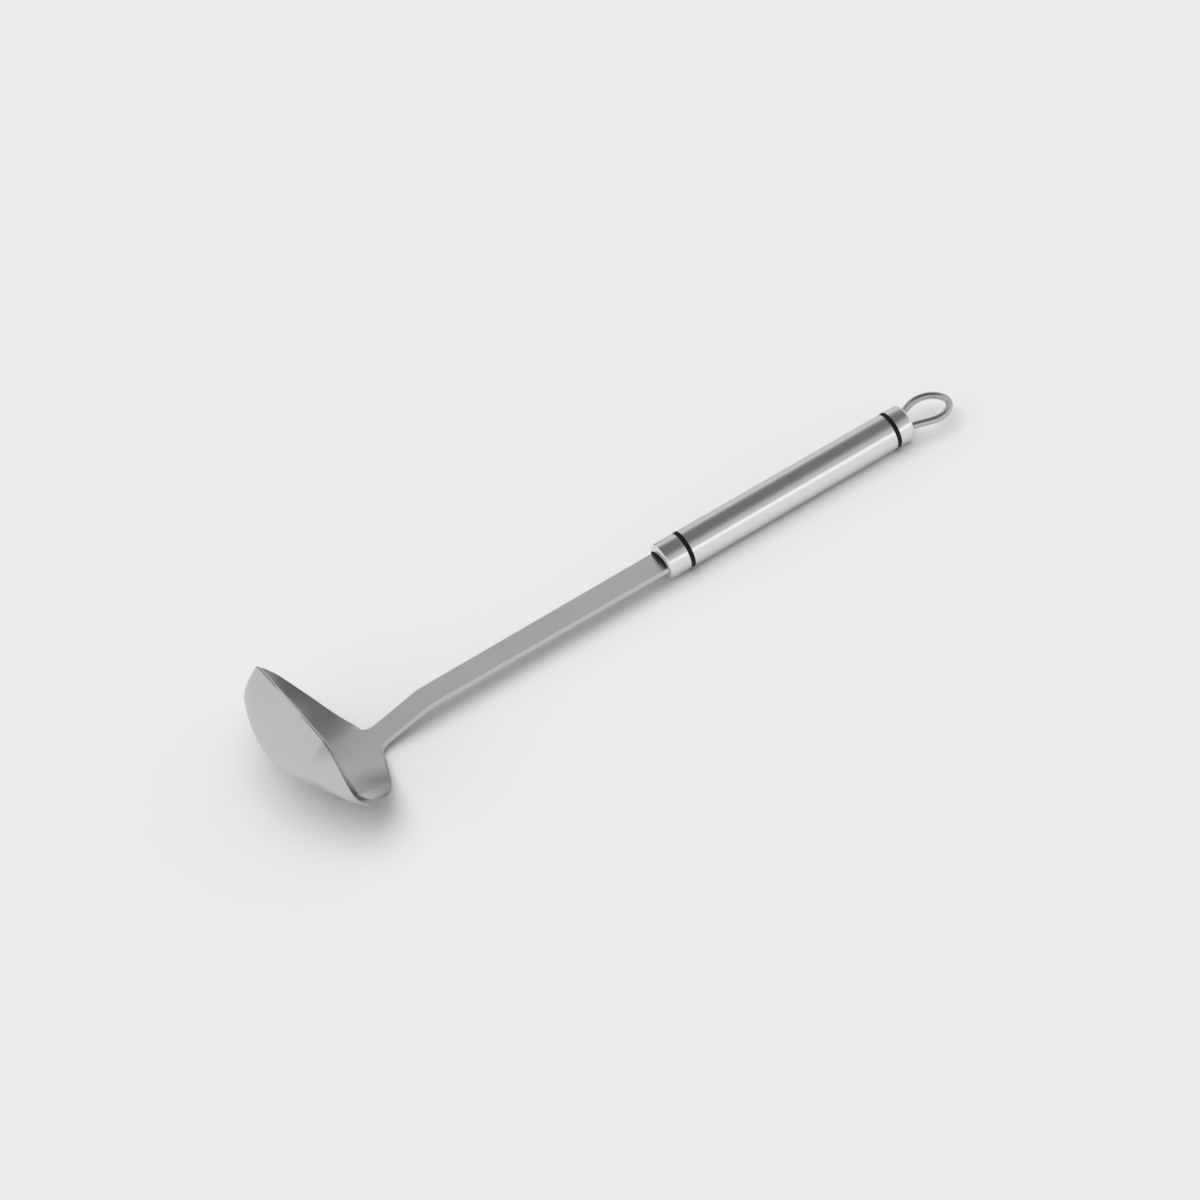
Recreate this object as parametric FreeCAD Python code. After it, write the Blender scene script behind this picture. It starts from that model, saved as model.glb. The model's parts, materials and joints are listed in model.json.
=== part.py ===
import FreeCAD, Part
import math
import os
from FreeCAD import Vector

# Sauce ladle in stainless steel, in millimetres.
# It is modelled with the handle's axis on X and the collar's lip at x = 0: the bowl lies at -X, the
# hanging loop at +X, and the flat top face of the strap faces +Z. At the end the whole ladle is tilted
# so that it lies at rest on its belly and on the heel of the end cap, with Z up from the table.

# Sheet that the bowl and its strap are pressed from
sheet = 2.2

# Strap: flat shaft between the handle and the bowl, slightly narrower towards the bowl
strap_width_collar = 14.8
strap_width_bend = 13.2
strap_run = 121.0
bend_radius = 24.0
strap_drop = 12.2
lower_leg = 26.5
neck_margin = 3.0
neck_fillet = 6.5

# Tang: end of the strap that is let into the handle
tang_width = 9.0
tang_length = 24.0

# Bowl: a boat shape across the handle, with a pouring spout at each end. Its mouth is given from the
# neck, as forward (away from the handle) and rise (towards the strap's top side).
mouth_forward = 23.8
mouth_rise = 37.8
spout_reach = 57.9
spout_forward = 18.2
rim_sweep = 0.65
back_spout_rise = 17.8
front_spout_rise = 22.6
corner_reach = 33.0
lip_reach = 55.2
lip_flare = 1.3
belly_depth = 25.7
belly_lean = 0.3
front_wall_power = 3.4
spout_wall_power = 2.2
spout_depth = 0.8
belly_taper = 1.7

# Handle
handle_dia = 17.5
tube_length = 110.6
tube_wall = 1.05
collar_length = 11.2
collar_bore = 15.2
lip_round = 0.7
socket_depth = 7.6
spigot_length = 10.0
spigot_wall = 1.4
spigot_clearance = 0.04
slot_clearance = 0.05
ring_width = 1.2
ring_recess = 0.12
cap_length = 8.2
cap_round = 1.3

# Hanging loop of bent wire
wire_dia = 3.3
loop_radius = 9.9
loop_centre_out = 13.1
leg_offset = 5.4
leg_depth = 5.5
leg_bend = 5.0
leg_clearance = 0.03

handle_radius = handle_dia / 2
ring_x = collar_length
tube_x = ring_x + ring_width
tube_end_x = tube_x + tube_length
cap_x = tube_end_x + ring_width
cap_end_x = cap_x + cap_length
tube_bore_radius = handle_radius - tube_wall
spigot_radius = tube_bore_radius - spigot_clearance
spigot_bore_radius = spigot_radius - spigot_wall


def revolve(outline):
    """Turn an outline of (x, radius) points a full circle about the handle's axis."""
    points = [Vector(x, 0, radius) for x, radius in outline]
    face = Part.Face(Part.makePolygon(points + points[:1]))
    return face.revolve(Vector(0, 0, 0), Vector(1, 0, 0), 360)


def round_rims(solid, x, radius, size):
    """Round the circular edges of one radius that lie in one plane across the axis."""
    edges = []
    for edge in solid.Edges:
        if not isinstance(edge.Curve, Part.Circle):
            continue
        same_radius = abs(edge.Curve.Radius - radius) < 1e-4
        if same_radius and abs(edge.Curve.Center.x - x) < 1e-4:
            edges.append(edge)
    return solid.makeFillet(size, edges)


def slab(x0, x1, width, height):
    """Box along the axis, centred on it."""
    return Part.makeBox(x1 - x0, width, height, Vector(x0, -width / 2, -height / 2))


# Handle pieces

def make_collar():
    """Turned collar: a socket for the strap, a slotted web, and a spigot for the tube."""
    bore = collar_bore / 2
    body = revolve([
        (0, bore), (0, handle_radius), (ring_x, handle_radius), (ring_x, spigot_radius),
        (tube_x + spigot_length, spigot_radius), (tube_x + spigot_length, spigot_bore_radius),
        (ring_x, spigot_bore_radius), (ring_x, 0), (socket_depth, 0), (socket_depth, bore),
    ])
    body = round_rims(body, 0, handle_radius, lip_round)
    slot = slab(0, tube_x, tang_width + 2 * slot_clearance, sheet + 2 * slot_clearance)
    return body.cut(slot)


def make_tube():
    """Plain round tube that forms the grip."""
    return revolve([
        (tube_x, tube_bore_radius), (tube_x, handle_radius),
        (tube_end_x, handle_radius), (tube_end_x, tube_bore_radius),
    ])


def make_ring(x):
    """Flat black ring pinched between the tube and its neighbour."""
    outer = handle_radius - ring_recess
    return revolve([
        (x, tube_bore_radius), (x, outer), (x + ring_width, outer), (x + ring_width, tube_bore_radius),
    ])


def make_cap():
    """Turned end cap: a solid end with two blind holes for the loop, and a spigot for the tube."""
    spigot_x = tube_end_x - spigot_length
    body = revolve([
        (spigot_x, spigot_bore_radius), (spigot_x, spigot_radius), (cap_x, spigot_radius),
        (cap_x, handle_radius), (cap_end_x, handle_radius), (cap_end_x, 0),
        (cap_x, 0), (cap_x, spigot_bore_radius),
    ])
    body = round_rims(body, cap_end_x, handle_radius, cap_round)
    for side in (-1, 1):
        start = Vector(cap_end_x - leg_depth, side * leg_offset, 0)
        hole = Part.makeCylinder(wire_dia / 2 + leg_clearance, leg_depth + 1, start, Vector(1, 0, 0))
        body = body.cut(hole)
    return body


def arc_between(centre, radius, start_angle, end_angle):
    """Arc in the strap's plane, from one angle to another in degrees."""
    middle = (start_angle + end_angle) / 2
    points = []
    for angle in (start_angle, middle, end_angle):
        turn = math.radians(angle)
        points.append(centre + Vector(radius * math.cos(turn), radius * math.sin(turn), 0))
    return Part.Arc(*points)


def make_loop():
    """Wire bent into a teardrop: two legs in the cap, a bend at each, and one round eye."""
    eye = Vector(cap_end_x + loop_centre_out, 0, 0)
    bend_centre = Vector(cap_end_x, leg_offset + leg_bend, 0)
    between = eye - bend_centre
    distance = between.Length
    towards_eye = math.degrees(math.atan2(between.y, between.x))
    splay = towards_eye + math.degrees(math.asin((loop_radius + leg_bend) / distance))
    bend_arc = arc_between(bend_centre, leg_bend, -90, splay - 90)
    eye_arc = arc_between(eye, loop_radius, splay + 90, -splay - 90)
    leg_start = Vector(cap_end_x - leg_depth, leg_offset, 0)
    upper = [Part.LineSegment(leg_start, bend_arc.StartPoint).toShape(), bend_arc.toShape()]
    upper.append(Part.LineSegment(bend_arc.EndPoint, eye_arc.StartPoint).toShape())
    lower = [edge.mirror(Vector(0, 0, 0), Vector(0, 1, 0)) for edge in upper]
    path = Part.Wire(Part.sortEdges(upper + [eye_arc.toShape()] + lower)[0])
    if path.Vertexes[0].Point.y < 0:
        leg_start.y = -leg_offset
    circle = Part.Wire(Part.Circle(leg_start, Vector(1, 0, 0), wire_dia / 2).toShape())
    return path.makePipeShell([circle], True, True)


# Bowl and strap

def neck_half_width():
    """Half of the strap's width where its fillets start."""
    taper = (strap_width_collar - strap_width_bend) / strap_run
    return (strap_width_bend - taper * (lower_leg - neck_fillet)) / 2


def rim_flat():
    """Reach of the level part of the back rim, where the strap joins it."""
    return neck_half_width() + neck_margin


def neck_point():
    """Middle of the sheet where the strap's lower leg meets the bowl's back rim."""
    drop = math.radians(strap_drop)
    reach = lower_leg + bend_radius * math.tan(drop / 2)
    return Vector(-strap_run - reach * math.cos(drop), 0, -reach * math.sin(drop))


def ramp(value, rounding):
    """Straight ramp from 0 to 1, rounded over a share of its length at each end."""
    steep = 1 / (1 - rounding)
    if value <= 0:
        return 0.0
    if value < rounding:
        return steep * value ** 2 / (2 * rounding)
    if value < 1 - rounding:
        return steep * (value - rounding / 2)
    if value < 1:
        return 1 - steep * (1 - value) ** 2 / (2 * rounding)
    return 1.0


def back_rim(reach):
    """Forward and rise of the back rim: level across the neck, then swept up to the spout."""
    out = max(reach - rim_flat(), 0) / (spout_reach - rim_flat())
    return spout_forward * (rim_sweep * out + (1 - rim_sweep) * out ** 4.4), back_spout_rise * out ** 2.13


def front_rim(reach):
    """Forward and rise of the front rim: level, down from the corner, then round the spout."""
    down = ramp((reach - corner_reach) / (lip_reach - corner_reach), 0.35)
    forward = mouth_forward + lip_flare * down
    rise = mouth_rise - (mouth_rise - front_spout_rise) * down
    if reach > lip_reach:
        out = (reach - lip_reach) / (spout_reach - lip_reach)
        forward = spout_forward + (forward - spout_forward) * math.sqrt(1 - out ** 2)
        rise = front_spout_rise + (back_spout_rise - front_spout_rise) * out ** 2
    return forward, rise


def bowl_section(y):
    """Points of the sheet's two faces, under and inner, in one slice across the boat.

    The slice hangs from the line between the rims. Its fall is depth * (1 - |x| ** power), with x from
    -1 at the back rim to 1 at the front rim, and its lowest part leans towards the front. The power of
    the back wall is the one that starts the wall in line with the strap's leg.
    """
    reach = abs(y)
    out = reach / spout_reach
    neck = neck_point()
    back, front = back_rim(reach), front_rim(reach)
    run, climb = front[0] - back[0], front[1] - back[1]
    half = math.hypot(run, climb) / 2
    chord = Vector(-run, 0, climb) / (2 * half)
    sink = Vector(-climb, 0, -run) / (2 * half)
    centre = neck + Vector(-(front[0] + back[0]) / 2, y, (front[1] + back[1]) / 2)
    depth = belly_depth + (spout_depth - belly_depth) * out ** belly_taper
    mouth_angle = math.atan2(mouth_rise, mouth_forward)
    half_mouth = math.hypot(mouth_rise, mouth_forward) / 2
    start_slope = math.tan(math.radians(strap_drop) + mouth_angle)
    back_wall_power = start_slope * half_mouth * (1 + 2 * belly_lean) / belly_depth
    under, inner = [], []
    steps = 16
    for i in range(steps + 1):
        x = -math.cos(math.pi * i / steps)
        power = front_wall_power if x > 0 else back_wall_power
        power += (spout_wall_power - power) * out ** 2
        fall = depth * (1 - abs(x) ** power)
        fall_rate = -depth * power * math.copysign(abs(x) ** (power - 1), x)
        shift = half * (x + belly_lean * (1 - x ** 2))
        shift_rate = half * (1 - 2 * belly_lean * x)
        middle = centre + chord * shift + sink * fall
        normal = (sink * shift_rate - chord * fall_rate) / math.hypot(shift_rate, fall_rate)
        under.append(middle + normal * (sheet / 2))
        inner.append(middle - normal * (sheet / 2))
    return under, inner


def make_bowl():
    """Pressed boat: one smooth face under, one inside, and the sheet's cut edge all the way round."""
    tip = lip_reach + 0.85 * (spout_reach - lip_reach)
    steps = 14
    places = [tip * math.sin(math.pi / 2 * i / steps) for i in range(-steps, steps + 1)]
    slices = [bowl_section(y) for y in places]
    faces, borders = [], []
    for side in (0, 1):
        surface = Part.BSplineSurface()
        surface.interpolate([points[side] for points in slices])
        face = surface.toShape()
        faces.append(face)
        u0, u1, v0, v1 = surface.bounds()
        ends = [surface.uIso(u0), surface.uIso(u1), surface.vIso(v0), surface.vIso(v1)]
        borders.append([curve.toShape() for curve in ends])
    for under_edge, inner_edge in zip(borders[0], borders[1]):
        faces.append(Part.makeRuledSurface(under_edge, inner_edge))
    shell = Part.makeShell(faces)
    shell.sewShape()
    solid = Part.makeSolid(shell)
    if solid.Volume < 0:
        solid.reverse()
    return solid


def make_strap():
    """Flat shaft with its tang, bent once, and flared into the bowl's back rim."""
    drop = math.radians(strap_drop)
    tangent = bend_radius * math.tan(drop / 2)
    corner = Vector(-strap_run, 0, 0)
    leg = Vector(-math.cos(drop), 0, -math.sin(drop))
    end = neck_point() + leg * 0.6
    half = Vector(0, 0, sheet / 2)
    across = Vector(-math.sin(drop), 0, math.cos(drop)) * (sheet / 2)
    bend_start = corner + Vector(tangent, 0, 0)
    bend_end = corner + leg * tangent
    bend_centre = bend_start - Vector(0, 0, bend_radius)
    middle_turn = Vector(-math.sin(drop / 2), 0, math.cos(drop / 2))
    upper_mid = bend_centre + middle_turn * (bend_radius + sheet / 2)
    lower_mid = bend_centre + middle_turn * (bend_radius - sheet / 2)
    tang_end = Vector(socket_depth + tang_length, 0, 0)
    outline = [
        Part.LineSegment(tang_end + half, bend_start + half),
        Part.Arc(bend_start + half, upper_mid, bend_end + across),
        Part.LineSegment(bend_end + across, end + across),
        Part.LineSegment(end + across, end - across),
        Part.LineSegment(end - across, bend_end - across),
        Part.Arc(bend_end - across, lower_mid, bend_start - half),
        Part.LineSegment(bend_start - half, tang_end - half),
        Part.LineSegment(tang_end - half, tang_end + half),
    ]
    side = Part.Face(Part.Wire([piece.toShape() for piece in outline]))
    width = strap_width_collar + 4 * neck_fillet
    side.translate(Vector(0, -width / 2, 0))
    blank = side.extrude(Vector(0, width, 0))
    return blank.common(make_strap_plan(end))


def make_strap_plan(end):
    """Plan of the strap seen from above, as a tall prism: tang, shoulders, taper and neck flare."""
    height = lower_leg + bend_radius + 2 * sheet
    wide = strap_width_collar / 2
    tang = tang_width / 2
    narrow_end = neck_half_width()
    flare_y = narrow_end + neck_fillet
    rim_angle = math.atan(spout_forward * rim_sweep / (spout_reach - rim_flat()))
    rim_x = neck_point().x - (flare_y - rim_flat()) * math.tan(rim_angle)
    flare_x = rim_x + neck_fillet / math.cos(rim_angle)
    mid_turn = (math.radians(90) + rim_angle) / 2
    mid_x = flare_x - neck_fillet * math.cos(mid_turn)
    mid_y = flare_y - neck_fillet * math.sin(mid_turn)
    touch_x = flare_x - neck_fillet * math.cos(rim_angle)
    touch_y = flare_y - neck_fillet * math.sin(rim_angle)
    edges = []
    for side in (1, -1):
        def at(x, y):
            return Vector(x, side * y, -height)
        edges.append(Part.LineSegment(at(socket_depth + tang_length, 0), at(socket_depth + tang_length, tang)))
        edges.append(Part.LineSegment(at(socket_depth + tang_length, tang), at(socket_depth, tang)))
        edges.append(Part.LineSegment(at(socket_depth, tang), at(socket_depth, wide)))
        edges.append(Part.LineSegment(at(socket_depth, wide), at(flare_x, narrow_end)))
        edges.append(Part.Arc(at(flare_x, narrow_end), at(mid_x, mid_y), at(touch_x, touch_y)))
        edges.append(Part.LineSegment(at(touch_x, touch_y), at(end.x - sheet, touch_y)))
        edges.append(Part.LineSegment(at(end.x - sheet, touch_y), at(end.x - sheet, 0)))
    wire = Part.Wire(Part.sortEdges([edge.toShape() for edge in edges])[0])
    return Part.Face(wire).extrude(Vector(0, 0, 2 * height))


def make_head():
    """Bowl and strap as the one pressed piece that they are."""
    return make_bowl().fuse(make_strap()).removeSplitter()


# The ladle at rest

def lowest(shape, pitch):
    """Height of a shape's lowest point once it is pitched about Y by an angle in degrees."""
    turned = shape.copy()
    turned.rotate(Vector(0, 0, 0), Vector(0, 1, 0), pitch)
    return turned.optimalBoundingBox(False, False).ZMin


def rest_pitch(head, cap):
    """Pitch at which the belly and the end cap's heel are level, found by halving an interval."""
    low, high = -10.0, 20.0
    for _ in range(24):
        middle = (low + high) / 2
        if lowest(head, middle) < lowest(cap, middle):
            low = middle
        else:
            high = middle
    return (low + high) / 2


pieces = {
    "ladle_head": make_head(),
    "front_collar": make_collar(),
    "front_ring": make_ring(ring_x),
    "handle_tube": make_tube(),
    "rear_ring": make_ring(tube_end_x),
    "end_cap": make_cap(),
    "hanging_loop": make_loop(),
}
pitch = rest_pitch(pieces["ladle_head"], pieces["end_cap"])
for piece in pieces.values():
    piece.rotate(Vector(0, 0, 0), Vector(0, 1, 0), pitch)
box = Part.makeCompound(list(pieces.values())).optimalBoundingBox(False, False)
to_table = Vector(-box.Center.x, -box.Center.y, -box.ZMin)

os.makedirs("parts", exist_ok=True)
for name, piece in pieces.items():
    piece.translate(to_table)
    solid = piece.Solids[0] if len(piece.Solids) == 1 else piece
    solid.exportStep("parts/" + name + ".step")
    extent = piece.optimalBoundingBox(False, False)
    print(name, len(piece.Solids), piece.isValid(), round(piece.Volume, 1), extent)
print("pitch", round(pitch, 3), "neck", neck_point(), "shift", to_table)
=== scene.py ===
import json
import math

import bmesh
import bpy
import numpy as np
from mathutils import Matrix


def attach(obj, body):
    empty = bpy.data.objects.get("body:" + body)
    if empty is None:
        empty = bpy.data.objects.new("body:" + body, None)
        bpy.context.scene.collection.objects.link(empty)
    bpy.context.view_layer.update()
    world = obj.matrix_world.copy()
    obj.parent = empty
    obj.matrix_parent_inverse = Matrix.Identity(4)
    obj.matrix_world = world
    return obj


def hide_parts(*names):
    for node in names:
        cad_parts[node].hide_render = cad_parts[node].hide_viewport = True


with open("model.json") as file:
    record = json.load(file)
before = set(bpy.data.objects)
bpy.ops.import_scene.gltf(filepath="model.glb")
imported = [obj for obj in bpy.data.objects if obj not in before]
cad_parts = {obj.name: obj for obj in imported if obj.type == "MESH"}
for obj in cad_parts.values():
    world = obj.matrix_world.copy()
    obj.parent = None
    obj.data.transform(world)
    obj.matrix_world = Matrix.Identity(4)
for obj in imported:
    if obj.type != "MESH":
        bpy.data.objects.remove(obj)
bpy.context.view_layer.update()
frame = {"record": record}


# Handle tube: a plain round steel tube, 17.5 mm across, that is the grip.
# It is drawn and cut to length, then brushed on a lathe, so that its fine lines run round it.
# The front collar and the end cap are pushed into its two ends.

handle_radius = 0.00875
collar_length = 0.0112
ring_width = 0.0012
ring_spread = 0.0005  # each ring shows this much wider at either side, taken from its neighbours' ends
tube_length = 0.1106
tube_wall = 0.00105
tube_bore = handle_radius - tube_wall
tube_start = collar_length + ring_width
tube_end = tube_start + tube_length
grip_half = 0.0652
lip_round = 0.0007

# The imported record's grip mount gives the handle's direction, and from it the place of the collar's lip.
grip = next(mount for mount in frame["record"]["mounts"] if mount["name"] == "grip")
handle_axis = np.array(grip["axis"])
handle_up = np.array([-handle_axis[2], 0.0, handle_axis[0]])
collar_lip = np.array(grip["pos_m"]) - handle_axis * (lip_round + grip_half)


def on_handle(points):
    """Points given along the handle from the collar's lip, across it and up from it, in the CAD's frame."""
    return collar_lip + points @ np.array([handle_axis, (0.0, 1.0, 0.0), handle_up])


def grid_faces(rows, columns, start=0, closed_rows=False, closed_columns=False):
    """Quads of a grid: each joins a point, its next in the row, and the same two of the next row."""
    row = np.arange(rows if closed_rows else rows - 1)[:, None]
    column = np.arange(columns if closed_columns else columns - 1)[None, :]
    next_row = (row + 1) % rows
    next_column = (column + 1) % columns
    corners = [row * columns + column, row * columns + next_column]
    corners += [next_row * columns + next_column, next_row * columns + column]
    quads = np.stack([np.broadcast_to(corner, (row.size, column.size)) for corner in corners], -1)
    return quads.reshape(-1, 4) + start


def metal_piece(name, points, faces, crease=35.0, finishes=None, merge_within=1e-6):
    """Mesh of points and faces, doubles merged, faces outward, shaded smooth up to the crease angle.

    Where finishes are given, they say which of the piece's materials each face has.
    """
    mesh = bpy.data.meshes.new(name)
    mesh.from_pydata(points.tolist(), [], faces.tolist())
    if finishes is not None:
        mesh.polygons.foreach_set("material_index", finishes)
    shell = bmesh.new()
    shell.from_mesh(mesh)
    bmesh.ops.remove_doubles(shell, verts=shell.verts, dist=merge_within)
    bmesh.ops.recalc_face_normals(shell, faces=shell.faces)
    shell.to_mesh(mesh)
    shell.free()
    mesh.polygons.foreach_set("use_smooth", np.ones(len(mesh.polygons), bool))
    mesh.set_sharp_from_angle(angle=math.radians(crease))
    piece = bpy.data.objects.new(name, mesh)
    bpy.context.scene.collection.objects.link(piece)
    return piece


def turned(name, outline, around=192):
    """Closed outline of (x, radius) carried a full circle about the handle's axis."""
    angle = np.linspace(0, 2 * math.pi, around, endpoint=False)[:, None]
    x, radius = np.broadcast_to(outline.T[:, None], (2, around, len(outline)))
    points = np.stack([x, radius * np.sin(angle), radius * np.cos(angle)], -1).reshape(-1, 3)
    faces = grid_faces(around, len(outline), closed_rows=True, closed_columns=True)
    return metal_piece(name, on_handle(points), faces)


def finish_nodes(name, colour, roughness):
    """A new metal material with its shader, ready for the finish's own texture nodes."""
    material = bpy.data.materials.new(name)
    material.use_nodes = True
    shader = material.node_tree.nodes["Principled BSDF"]
    shader.inputs["Base Color"].default_value = (colour, colour, colour, 1)
    shader.inputs["Metallic"].default_value = 1.0
    shader.inputs["Roughness"].default_value = roughness
    return material, material.node_tree.nodes, material.node_tree.links, shader


def brushed_steel():
    """Lathe-brushed steel: noise drawn out round the axis gives fine lines in roughness and bump."""
    material, nodes, links, shader = finish_nodes("brushed_steel", colour=0.8, roughness=0.2)
    place = nodes.new("ShaderNodeTexCoord")
    stretch = nodes.new("ShaderNodeMapping")
    stretch.inputs["Scale"].default_value = (1300, 60, 60)
    lines = nodes.new("ShaderNodeTexNoise")
    lines.inputs["Scale"].default_value = 1.0
    lines.inputs["Detail"].default_value = 3.0
    gloss = nodes.new("ShaderNodeMapRange")
    gloss.inputs["To Min"].default_value = 0.12
    gloss.inputs["To Max"].default_value = 0.3
    bump = nodes.new("ShaderNodeBump")
    bump.inputs["Strength"].default_value = 0.9
    bump.inputs["Distance"].default_value = 0.00005
    links.new(place.outputs["Object"], stretch.inputs["Vector"])
    links.new(stretch.outputs["Vector"], lines.inputs["Vector"])
    links.new(lines.outputs["Fac"], gloss.inputs["Value"])
    links.new(gloss.outputs["Result"], shader.inputs["Roughness"])
    links.new(lines.outputs["Fac"], bump.inputs["Height"])
    links.new(bump.outputs["Normal"], shader.inputs["Normal"])
    return material


brushed = brushed_steel()
tube_front, tube_rear = tube_start + ring_spread, tube_end - ring_spread
tube = turned("handle_tube_brushed", np.array([
    (tube_front, tube_bore), (tube_front, handle_radius),
    (tube_rear, handle_radius), (tube_rear, tube_bore),
]))
tube.data.materials.append(brushed)
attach(tube, "root")
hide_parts("handle_tube")


# Front collar: a turned steel sleeve, 11 mm long, with a rounded nose that the strap goes into.
# Above the strap its nose is open in a low arch, and below the strap it is solid.
# Its spigot is a push fit in the tube.

nose_round = 0.0016
arch_half_width = 0.00752
arch_side_flat = 1.02
arch_height = 0.005
slot_depth = 0.00115
slot_side_steepness = 8
arch_depth = 0.0065
spigot_gap = 0.00004
spigot_wall = 0.0014
spigot_length = 0.010
spigot_radius = tube_bore - spigot_gap
spigot_bore = spigot_radius - spigot_wall


def nose(y, z):
    """Depth of the rounded nose at a point (y, z): flat in the middle, a quarter circle at the rim."""
    past = np.clip(np.hypot(y, z) - (handle_radius - nose_round), 0, nose_round)
    return nose_round - np.sqrt(nose_round ** 2 - past ** 2)


def joined_grids(grids, closed_columns=False):
    """Points and quads of several grids as one mesh, the quads of each counted on from the grid before."""
    points = [grid.reshape(-1, 3) for grid in grids]
    starts = np.cumsum([0] + [len(part) for part in points])
    faces = [
        grid_faces(*grid.shape[:2], start, closed_columns=closed_columns)
        for grid, start in zip(grids, starts)
    ]
    return np.concatenate(points), np.concatenate(faces)


def collar_surface(around=192, across=24):
    """Nose skin from the arch's outline out to the sleeve, the turned back, and the arch's wall and floor.

    The outline is half an ellipse above the strap and a flat slot below it, with its sides kept upright.
    """
    angle = np.linspace(0, 2 * math.pi, around, endpoint=False)
    side, up = np.sin(angle), np.cos(angle)
    arch_y = arch_half_width * np.sign(side) * np.clip(arch_side_flat * np.abs(side), 0, 1)
    slot_z = -slot_depth * np.clip(-slot_side_steepness * up, 0, 1)
    arch_z = np.where(up > 0, arch_height * up, slot_z)
    spread = np.sin(np.linspace(0, math.pi / 2, across))[:, None]
    skin_y = arch_y + spread * (handle_radius * side - arch_y)
    skin_z = arch_z + spread * (handle_radius * up - arch_z)
    skin = np.stack([nose(skin_y, skin_z), skin_y, skin_z], -1)
    outline = np.array([
        (nose_round, handle_radius), (collar_length - ring_spread, handle_radius),
        (collar_length - ring_spread, spigot_radius), (tube_start + spigot_length, spigot_radius),
        (tube_start + spigot_length, spigot_bore), (collar_length, spigot_bore), (collar_length, 0.0),
    ])
    x, radius = np.broadcast_to(outline.T[..., None], (2, len(outline), around))
    back = np.stack([x, radius * side, radius * up], -1)
    arch = np.stack([nose(arch_y, arch_z), arch_y, arch_z], -1)
    floor = np.stack([np.full(around, arch_depth), arch_y, arch_z], -1)
    centre = np.broadcast_to([arch_depth, 0.0, arch_height / 2], (around, 3))
    return joined_grids([skin, back, np.stack([arch, floor, centre])], closed_columns=True)


collar_points, collar_faces = collar_surface()
collar = metal_piece("front_collar_brushed", on_handle(collar_points), collar_faces)
collar.data.materials.append(brushed)
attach(collar, "root")
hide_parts("front_collar")


# Spacer rings: two flat rings of black rubber, 2.2 mm wide, pinched between the tube and its neighbours.
# They are a hair smaller than the tube, so that each joint shows as a fine dark groove.

ring_recess = 0.00012
ring_outer = handle_radius - ring_recess


def black_rubber():
    """Black rubber: a dull even sheen, with a fine grain of noise in the bump."""
    material, nodes, links, shader = finish_nodes("black_rubber", colour=0.006, roughness=0.6)
    shader.inputs["Metallic"].default_value = 0.0
    shader.inputs["Specular IOR Level"].default_value = 0.2
    place = nodes.new("ShaderNodeTexCoord")
    grain = nodes.new("ShaderNodeTexNoise")
    grain.inputs["Scale"].default_value = 2500.0
    bump = nodes.new("ShaderNodeBump")
    bump.inputs["Strength"].default_value = 0.2
    bump.inputs["Distance"].default_value = 0.00002
    links.new(place.outputs["Object"], grain.inputs["Vector"])
    links.new(grain.outputs["Fac"], bump.inputs["Height"])
    links.new(bump.outputs["Normal"], shader.inputs["Normal"])
    return material


rubber = black_rubber()
for ring_name, ring_start in (("front_ring", collar_length), ("rear_ring", tube_end)):
    ring_low, ring_high = ring_start - ring_spread, ring_start + ring_width + ring_spread
    ring = turned(ring_name + "_rubber", np.array([
        (ring_low, tube_bore), (ring_low, ring_outer), (ring_high, ring_outer), (ring_high, tube_bore),
    ]))
    ring.data.materials.append(rubber)
    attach(ring, "root")
    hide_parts(ring_name)


# End cap: a turned steel plug, 8 mm long outside, with a rounded edge; the loop's legs go into its end.
# It is brushed like the tube and pushed into its rear end.

cap_length = 0.0082
cap_round = 0.0013
cap_start = tube_end + ring_width
cap_end = cap_start + cap_length


def cap_outline(steps=8):
    """Spigot, shoulder, a quarter circle for the rounded edge, and the end to the axis, as (x, radius)."""
    angle = np.linspace(math.pi / 2, 0, steps + 1)
    edge = np.array([cap_end, handle_radius]) - cap_round
    return np.concatenate([
        [(tube_end - spigot_length, spigot_bore), (tube_end - spigot_length, spigot_radius)],
        [(cap_start + ring_spread, spigot_radius), (cap_start + ring_spread, handle_radius)],
        edge + cap_round * np.stack([np.cos(angle), np.sin(angle)], -1),
        [(cap_end, 0.0), (cap_start, 0.0), (cap_start, spigot_bore)],
    ])


cap = turned("end_cap_brushed", cap_outline())
cap.data.materials.append(brushed)
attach(cap, "root")
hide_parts("end_cap")


# Hanging loop: one length of polished steel wire, 3.3 mm thick, bent into a teardrop.
# Its two legs are fixed in the end cap, and it hangs the ladle from a hook.

wire_radius = 0.00165
loop_radius = 0.0099
eye_distance = 0.0131
leg_offset = 0.0054
leg_depth = 0.0055
leg_bend = 0.005


def loop_line(bend_steps=24, eye_steps=120):
    """Middle of the wire in the strap's plane: leg, outward bend, straight, round eye, and back."""
    bend_centre = np.array([cap_end, leg_offset + leg_bend])
    eye_centre = np.array([cap_end + eye_distance, 0.0])
    to_eye = eye_centre - bend_centre
    splay = math.atan2(to_eye[1], to_eye[0]) + math.asin((loop_radius + leg_bend) / np.hypot(*to_eye))
    turn = np.linspace(-math.pi / 2, splay - math.pi / 2, bend_steps)
    bend = bend_centre + leg_bend * np.stack([np.cos(turn), np.sin(turn)], -1)
    sweep = np.linspace(splay + math.pi / 2, -splay - math.pi / 2, eye_steps)
    eye = eye_centre + loop_radius * np.stack([np.cos(sweep), np.sin(sweep)], -1)
    leg = np.array([[cap_end - leg_depth, leg_offset]])
    other = np.concatenate([leg, bend]) * (1, -1)
    return np.concatenate([leg, bend, eye, other[::-1]])


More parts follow.
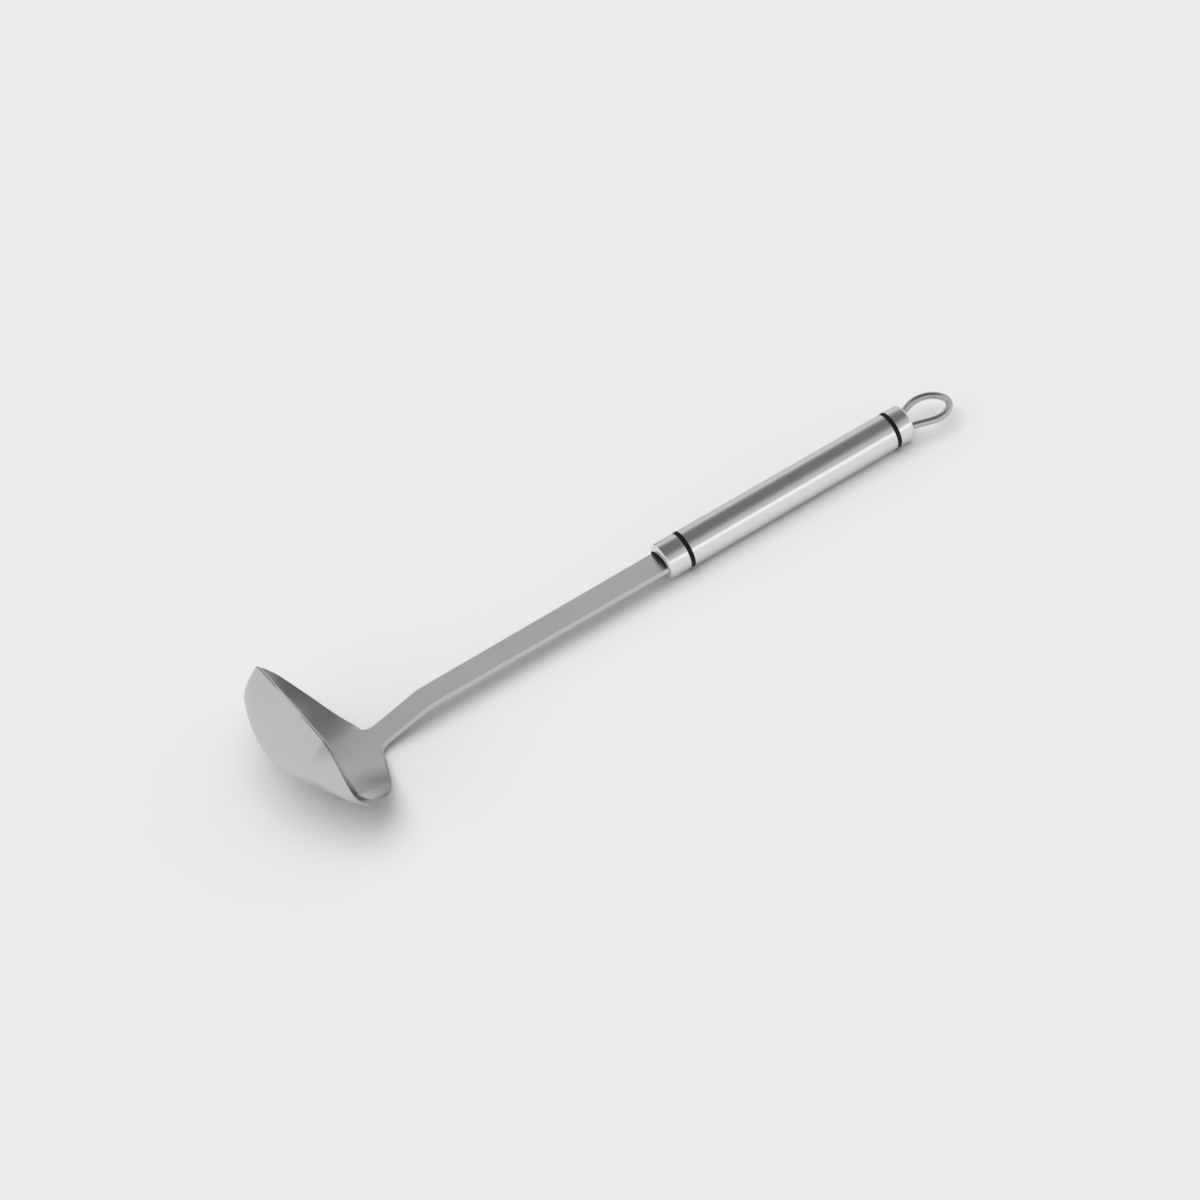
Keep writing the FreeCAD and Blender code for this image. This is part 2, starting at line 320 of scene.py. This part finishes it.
def wire(line, radius, around=40):
    """Round wire along a line in the strap's plane: a circle square to the line at each point.

    A circle of no size at each end closes it.
    """
    along = np.gradient(line, axis=0)
    along /= np.linalg.norm(along, axis=1)[:, None]
    side = np.stack([-along[:, 1], along[:, 0]], -1)
    rows = np.pad(np.arange(len(line)), 1, "edge")
    size = radius * np.pad(np.ones(len(line)), 1)[:, None]
    angle = np.linspace(0, 2 * math.pi, around, endpoint=False)
    flat = line[rows, None] + side[rows, None] * (size * np.cos(angle))[..., None]
    height = size * np.sin(angle)
    points = np.concatenate([flat, height[..., None]], -1).reshape(-1, 3)
    return points, grid_faces(len(rows), around, closed_columns=True)


def polished_steel():
    """Polished wire: a sharp gloss with faint drawing marks from fine noise."""
    material, nodes, links, shader = finish_nodes("polished_steel", colour=0.52, roughness=0.1)
    place = nodes.new("ShaderNodeTexCoord")
    marks = nodes.new("ShaderNodeTexNoise")
    marks.inputs["Scale"].default_value = 900.0
    gloss = nodes.new("ShaderNodeMapRange")
    gloss.inputs["To Min"].default_value = 0.04
    gloss.inputs["To Max"].default_value = 0.09
    links.new(place.outputs["Object"], marks.inputs["Vector"])
    links.new(marks.outputs["Fac"], gloss.inputs["Value"])
    links.new(gloss.outputs["Result"], shader.inputs["Roughness"])
    return material


loop_points, loop_faces = wire(loop_line(), wire_radius)
loop = metal_piece("hanging_loop_wire", on_handle(loop_points), loop_faces, crease=50.0)
loop.data.materials.append(polished_steel())
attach(loop, "root")
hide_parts("hanging_loop")


# Ladle head: bowl, flat strap and tang in one piece, pressed from one 2.2 mm sheet of stainless steel.
# The boat-shaped bowl lies across the strap with a spout at each end. It is satin, and a darker copy of the
# satin on its cut edges is painted shade.
# The tang is let into the front collar and fixed there out of sight.

# Sheet, strap, neck and tang. The strap drops at its bend to the lower leg, and fillets join it to the bowl.
sheet = 0.0022
strap_width_collar = 0.0148
strap_width_bend = 0.0132
strap_run = 0.121
bend_radius = 0.024
strap_drop = math.radians(12.2)
lower_leg = 0.0265
neck_margin = 0.003
neck_fillet = 0.0065
socket_depth = 0.0076
tang_width = 0.009
tang_length = 0.024

# Rims, from the neck: forward is away from the handle, rise is up, and reach is out to either side.
mouth_forward = 0.02495
mouth_rise = 0.0388
spout_reach = 0.0588
spout_forward = 0.018
rim_sweep = 0.74
rim_softness = 0.15
rim_curl_power = 4.4
rim_rise_power = 2.13
back_spout_rise = 0.0177
front_spout_rise = 0.0217
corner_reach = 0.032
corner_softness = 0.48
lip_reach = 0.053
tip_share = 0.985
tip_blunt = 0.35
lip_flare = 0.0006

# Walls and floor between the rims, and the small swell of their cut edge.
belly_depth = 0.0246
belly_lean = 0.445
lean_fade_power = 3
front_wall_power = 3.95
spout_wall_power = 2.15
spout_depth = 0.0008
belly_taper = 1.8
spout_floor_start = 0.634
spout_floor_lift = 0.54
rim_swell = 0.0005

# What follows from these: the bend's ends, the neck's place and width, and where its fillets touch.
bend_tangent = bend_radius * math.tan(strap_drop / 2)
neck_x = -strap_run - (lower_leg + bend_tangent) * math.cos(strap_drop)
neck_z = -(lower_leg + bend_tangent) * math.sin(strap_drop)
strap_taper = (strap_width_collar - strap_width_bend) / strap_run
neck_half = (strap_width_bend - strap_taper * (lower_leg - neck_fillet)) / 2
rim_flat = neck_half + neck_margin
flare_y = neck_half + neck_fillet
rim_angle = math.atan(spout_forward * rim_sweep / (spout_reach - rim_flat))
flare_x = neck_x - (flare_y - rim_flat) * math.tan(rim_angle) + neck_fillet / math.cos(rim_angle)
touch_y = flare_y - neck_fillet * math.sin(rim_angle)
back_slope = math.tan(strap_drop + math.atan2(mouth_rise, mouth_forward))
mouth_half = math.hypot(mouth_rise, mouth_forward) / 2
back_wall_power = back_slope * mouth_half * (1 + 2 * belly_lean) / belly_depth


def ramp(value, rounding):
    """Straight ramp from 0 to 1, rounded over a share of its length at each end."""
    steep = 1 / (1 - rounding)
    value = np.clip(value, 0, 1)
    start = steep * value ** 2 / (2 * rounding)
    middle = steep * (value - rounding / 2)
    end = 1 - steep * (1 - value) ** 2 / (2 * rounding)
    return np.where(value < rounding, start, np.where(value > 1 - rounding, end, middle))


def smooth_step(value):
    """Smooth step from 0 to 1, level at both ends: three times the square less twice the cube."""
    value = np.clip(value, 0, 1)
    return value ** 2 * (3 - 2 * value)


def back_rim(reach):
    """Forward and rise of the back rim: level across the neck, then swept up to the spout.

    The way out starts softly. Forward is a straight sweep and a share of its power, and rise is a power.
    """
    out = np.clip((reach - rim_flat) / (spout_reach - rim_flat), 0, 1)
    out = np.where(out < rim_softness, out ** 2 / (2 * rim_softness), out - rim_softness / 2)
    out = out / (1 - rim_softness / 2)
    forward = spout_forward * (rim_sweep * out + (1 - rim_sweep) * out ** rim_curl_power)
    return forward, back_spout_rise * out ** rim_rise_power


def front_rim(reach):
    """Forward and rise of the front rim: level, then down a rounded ramp from the corner to the spout."""
    down = ramp((reach - corner_reach) / (lip_reach - corner_reach), corner_softness)
    return mouth_forward + lip_flare * down, mouth_rise - (mouth_rise - front_spout_rise) * down


def tip_part(reach):
    """Share of the way from the spout's lip to its very tip."""
    return np.clip((reach - lip_reach) / (spout_reach - lip_reach), 0, 1)


def both_rims(reach):
    """Forward and rise of back and front rim, drawn together at the tip by a quarter of an ellipse."""
    tip_forward = spout_forward + tip_blunt * (mouth_forward + lip_flare - spout_forward)
    tip_rise = back_spout_rise + tip_blunt * (front_spout_rise - back_spout_rise)
    open_share = np.sqrt(1 - tip_part(reach) ** 2)
    return [
        (tip_forward + (forward - tip_forward) * open_share, tip_rise + (rise - tip_rise) * open_share)
        for forward, rise in (back_rim(reach), front_rim(reach))
    ]


def section_lines(y, s):
    """Middle of the sheet and its direction along each slice, at the places s from -1 at the back rim to 1.

    A slice hangs from the line between the rims by depth * (1 - |s| ** power), and it is moved along that
    line, to the front, by lean * (1 - s ** 2) of half its length. Depth, power and lean change towards the
    spouts. With its power the back wall leaves the neck in line with the strap.
    """
    reach = np.abs(y)[:, None]
    out = reach / spout_reach
    (back_forward, back_rise), (front_forward, front_rise) = both_rims(reach)
    run, climb = front_forward - back_forward, front_rise - back_rise
    half = np.hypot(run, climb) / 2
    depth = belly_depth + (spout_depth - belly_depth) * out ** belly_taper
    depth = depth * np.sqrt(1 - tip_part(reach) ** 2)
    lift = smooth_step((out - spout_floor_start) / (1 - spout_floor_start))
    depth = depth * (1 - spout_floor_lift * lift)
    power = np.where(s > 0, front_wall_power, back_wall_power)
    power = power + (spout_wall_power - power) * out ** 2
    fall = depth * (1 - np.abs(s) ** power)
    fall_rate = -depth * power * np.sign(s) * np.abs(s) ** (power - 1)
    lean = belly_lean * (1 - out ** lean_fade_power)
    shift = half * (s + lean * (1 - s ** 2))
    shift_rate = half * (1 - 2 * lean * s)
    chord = np.stack([-run, climb], -1) / (2 * half)[..., None]
    sink = np.stack([-climb, -run], -1) / (2 * half)[..., None]
    centre_x = neck_x - (front_forward + back_forward) / 2
    centre_z = neck_z + (front_rise + back_rise) / 2
    centre = np.stack([centre_x, centre_z], -1)
    middle = centre + chord * shift[..., None] + sink * fall[..., None]
    along = chord * shift_rate[..., None] + sink * fall_rate[..., None]
    return middle, along


def rim_bulge(y):
    """How far the cut edge swells: nothing at the neck, full on the rims, nothing again at the very tip."""
    reach = np.abs(y)
    tip = np.clip(tip_part(reach) / tip_share, 0, 1)
    return rim_swell * smooth_step((reach - touch_y) / neck_fillet) * np.sqrt(1 - tip ** 4)


def in_slices(plane, y):
    """Points (x, z) of the slices with their y."""
    return np.stack([plane[..., 0], np.broadcast_to(y[:, None], plane.shape[:2]), plane[..., 1]], -1)


def cut_profile(steps=12):
    """Cut edge from upper to lower face: the place across the sheet, and the share of the outward swell."""
    turn = np.linspace(0, math.pi, steps + 1)[:, None]
    return np.sign(np.cos(turn)) * np.sqrt(np.abs(np.cos(turn))), np.sqrt(np.abs(np.sin(turn)))


def bowl_faces(y, steps=96):
    """Inner face, under face, and rounded front and back edges of the bowl's sheet, one row for each y.

    The two faces lie half the sheet's thickness to each side of its middle. Each slice stops short of the
    rim by the bulge, and a flat curve with round corners closes it there: the face's offset times the root
    of the cosine, and the bulge times the root of the sine.
    """
    ends = np.array([[-1.0, 1.0]])
    rate = np.linalg.norm(section_lines(y, ends)[1], axis=-1)
    short = rim_bulge(y)[:, None] / rate
    even = np.linspace(-1, 1, steps + 1)[None, :]
    s = even * np.where(even > 0, 1 - short[:, 1:], 1 - short[:, :1])
    middle, along = section_lines(y, s)
    along = along / np.linalg.norm(along, axis=-1)[..., None]
    normal = np.stack([along[..., 1], -along[..., 0]], -1) * sheet / 2
    inner, under = in_slices(middle + normal, y), in_slices(middle - normal, y)
    across, outward = cut_profile()
    rims = []
    for end, way in ((-1, 1), (0, -1)):
        bulge = way * rim_bulge(y)[:, None, None] * along[:, None, end]
        rims.append(in_slices(middle[:, None, end] + normal[:, None, end] * across + bulge * outward, y))
    return inner, under, *rims


def strap_rows(leg_rows=60, bend_rows=21, run_rows=40, crowding=1.3):
    """Middle line of the strap as x and z, its tilt and its half width, in rows from the neck to the tang.

    The line goes up the lower leg, round the bend on an arc and straight on into the collar. The leg's rows
    crowd towards the neck, where its sides are two fillets. The last two rows are the narrower tang.
    """
    leg = np.linspace(0, 1, leg_rows)[1:] ** crowding * lower_leg
    turn = np.linspace(strap_drop, 0, bend_rows)[1:]
    run = np.linspace(bend_tangent - strap_run, socket_depth, run_rows)[1:]
    run = np.append(run, [socket_depth, socket_depth + tang_length])
    bend_x = bend_tangent - strap_run - bend_radius * np.sin(turn)
    bend_z = bend_radius * (np.cos(turn) - 1)
    x = np.concatenate([neck_x + leg * math.cos(strap_drop), bend_x, run])
    z = np.concatenate([neck_z + leg * math.sin(strap_drop), bend_z, np.zeros(run.size)])
    tilt = np.concatenate([np.full(leg.size, strap_drop), turn, np.zeros(run.size)])
    widening = (strap_width_collar / 2 - neck_half) * (x - flare_x) / (socket_depth - flare_x)
    in_fillet = np.clip(flare_x - x, 0, neck_fillet * math.cos(rim_angle))
    flared = flare_y - np.sqrt(neck_fillet ** 2 - in_fillet ** 2)
    half_width = np.where(x < flare_x, flared, neck_half + widening)
    half_width[-2:] = tang_width / 2
    return x, z, tilt, half_width


def closing_strip(above, below):
    """Flat strip across the sheet between two of its edges, with its rows where the cut edge has them."""
    level = (1 + cut_profile()[0][..., None]) / 2
    return below + (above - below) * level


def ladle_head(neck_rows=19, spout_rows=90):
    """Inner and under faces of bowl and strap, sharing the points where they meet, closed by the cut edge.

    It gives the points, the quads and each quad's finish: 1 on the bowl's cut edges, whose darker copy of
    the satin is painted shade, and 0 elsewhere.
    """
    near = np.linspace(0, touch_y, neck_rows)
    tip = lip_reach + tip_share * (spout_reach - lip_reach)
    far = touch_y + (tip - touch_y) * np.sin(np.linspace(0, math.pi / 2, spout_rows))[1:]
    y = np.concatenate([-far[::-1], -near[:0:-1], near, far])
    first, last = far.size, far.size + 2 * near.size - 2
    inner, under, front_edge, back_edge = bowl_faces(y)
    x, z, tilt, half_width = strap_rows()
    row_y = half_width[:, None] * y[first:last + 1] / touch_y
    sheet_faces = []
    for side, bowl in ((1, inner), (-1, under)):
        row_x = (x - side * np.sin(tilt) * sheet / 2)[:, None]
        row_z = (z + side * np.cos(tilt) * sheet / 2)[:, None]
        strap = np.stack(np.broadcast_arrays(row_x, row_y, row_z), -1)
        sheet_faces += [bowl, np.concatenate([bowl[None, first:last + 1, 0], strap])]
    upper, lower = sheet_faces[1::2]
    cut_edges = [front_edge, back_edge[:first + 1], back_edge[last:]]
    cut_edges += [closing_strip(inner[end], under[end]) for end in (0, -1)]
    strap_edges = [closing_strip(upper[:, end], lower[:, end]) for end in (0, -1)]
    strap_edges.append(closing_strip(upper[-1], lower[-1]))
    grids = sheet_faces + cut_edges + strap_edges
    points, faces = joined_grids(grids)
    finishes = [0] * len(sheet_faces) + [1] * len(cut_edges) + [0] * len(strap_edges)
    quads = [(grid.shape[0] - 1) * (grid.shape[1] - 1) for grid in grids]
    return points, faces, np.repeat(finishes, quads)


def satin_steel(name, shade):
    """Fine satin steel: small even grain in the bump, and slow soft variation in the roughness."""
    material, nodes, links, shader = finish_nodes(name, shade, roughness=0.3)
    place = nodes.new("ShaderNodeTexCoord")
    grain = nodes.new("ShaderNodeTexNoise")
    grain.inputs["Scale"].default_value = 3500.0
    grain.inputs["Detail"].default_value = 2.0
    cloud = nodes.new("ShaderNodeTexNoise")
    cloud.inputs["Scale"].default_value = 60.0
    gloss = nodes.new("ShaderNodeMapRange")
    gloss.inputs["To Min"].default_value = 0.26
    gloss.inputs["To Max"].default_value = 0.36
    bump = nodes.new("ShaderNodeBump")
    bump.inputs["Strength"].default_value = 0.15
    bump.inputs["Distance"].default_value = 0.00002
    for texture in (grain, cloud):
        links.new(place.outputs["Object"], texture.inputs["Vector"])
    links.new(cloud.outputs["Fac"], gloss.inputs["Value"])
    links.new(gloss.outputs["Result"], shader.inputs["Roughness"])
    links.new(grain.outputs["Fac"], bump.inputs["Height"])
    links.new(bump.outputs["Normal"], shader.inputs["Normal"])
    return material


head_points, head_faces, head_finishes = ladle_head()
head = metal_piece(
    "ladle_head_satin", on_handle(head_points), head_faces, crease=45.0, finishes=head_finishes,
)
head.data.materials.append(satin_steel("satin_steel", shade=0.6))
# The cut edges get a darker copy of the satin: painted shade along the rims.
head.data.materials.append(satin_steel("cut_edge_painted_shade", shade=0.33))
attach(head, "root")
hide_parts("ladle_head")


# Table, light and camera: a pale plain tabletop under a soft sky, bright low in front and dim overhead.
# A wide soft sun fills in the tabletop, and the camera looks down across the ladle from its bowl's side.

table_grey = 0.8
table_half = 6.0
table_mesh = bpy.data.meshes.new("tabletop")
table_corners = np.array([(-1, -1, 0), (1, -1, 0), (1, 1, 0), (-1, 1, 0)]) * table_half
table_mesh.from_pydata(table_corners.tolist(), [], [(0, 1, 2, 3)])
table = bpy.data.objects.new("tabletop", table_mesh)
bpy.context.scene.collection.objects.link(table)
table_paint = bpy.data.materials.new("pale_tabletop")
table_paint.use_nodes = True
table_shader = table_paint.node_tree.nodes["Principled BSDF"]
table_shader.inputs["Roughness"].default_value = 1.0
table_shader.inputs["Specular IOR Level"].default_value = 0.0
table_shader.inputs["Base Color"].default_value = (table_grey, table_grey, table_grey, 1)
table.data.materials.append(table_paint)

world = bpy.data.worlds.new("soft studio")
bpy.context.scene.world = world
world.use_nodes = True
sky_nodes, sky_links = world.node_tree.nodes, world.node_tree.links
sky_place = sky_nodes.new("ShaderNodeTexCoord")
sky_parts = sky_nodes.new("ShaderNodeSeparateXYZ")
sky_ramps = {
    "front": [(0.0, 0.9), (0.27, 0.9), (0.33, 0.44), (0.6, 0.44), (0.85, 0.15), (1.0, 0.14)],
    "back": [(0.0, 0.1), (0.2, 0.18), (0.42, 0.5), (0.6, 0.6), (0.85, 0.15), (1.0, 0.14)],
    "far right": [(0.0, 0.44), (0.6, 0.58), (0.85, 0.15), (1.0, 0.14)],
    "left": [(0.0, 0.67), (0.5, 0.67), (0.7, 0.38), (0.85, 0.15), (1.0, 0.14)],
}
sky_links.new(sky_place.outputs["Generated"], sky_parts.inputs["Vector"])
sky_colours = {}
for side, levels in sky_ramps.items():
    sky_ramp = sky_nodes.new("ShaderNodeValToRGB")
    while len(sky_ramp.color_ramp.elements) < len(levels):
        sky_ramp.color_ramp.elements.new(0.5)
    for stop, (height, level) in zip(sky_ramp.color_ramp.elements, levels):
        stop.position = height
        stop.color = (level, level, level, 1)
    sky_links.new(sky_parts.outputs["Z"], sky_ramp.inputs["Fac"])
    sky_colours[side] = sky_ramp.outputs["Color"]


def sky_blend(axis, start, end, near, far):
    """Mixes one sky colour into another as the direction's part along an axis goes from start to end."""
    share = sky_nodes.new("ShaderNodeMapRange")
    share.inputs["From Min"].default_value = start
    share.inputs["From Max"].default_value = end
    blend = sky_nodes.new("ShaderNodeMix")
    blend.data_type = "RGBA"
    factor, first_colour, second_colour, mixed_colour = 0, 6, 7, 2
    sky_links.new(sky_parts.outputs[axis], share.inputs["Value"])
    sky_links.new(share.outputs["Result"], blend.inputs[factor])
    sky_links.new(near, blend.inputs[first_colour])
    sky_links.new(far, blend.inputs[second_colour])
    return blend.outputs[mixed_colour]


far_side = sky_blend("X", start=0.2, end=0.32, near=sky_colours["back"], far=sky_colours["far right"])
front_to_back = sky_blend("Y", start=-0.25, end=0.45, near=sky_colours["front"], far=far_side)
whole_sky = sky_blend("X", start=-0.3, end=0.0, near=sky_colours["left"], far=front_to_back)
sky_links.new(whole_sky, sky_nodes["Background"].inputs["Color"])
sky_nodes["Background"].inputs["Strength"].default_value = 1.28

fill_light = bpy.data.lights.new("fill", "SUN")
fill_light.energy = 1.85
fill_light.angle = math.radians(80)
fill = bpy.data.objects.new("fill", fill_light)
fill.visible_glossy = False
bpy.context.scene.collection.objects.link(fill)

lens_data = bpy.data.cameras.new("camera")
lens_data.lens = 84
lens_data.sensor_width = 36
camera = bpy.data.objects.new("camera", lens_data)
camera.location = (-0.33691, -0.91962, 0.73673)
camera.rotation_euler = [math.radians(angle) for angle in (51.77497, 14.51689, -30.46199)]
bpy.context.scene.collection.objects.link(camera)
bpy.context.scene.camera = camera
bpy.context.scene.view_settings.view_transform = "Standard"

bpy.context.view_layer.update()
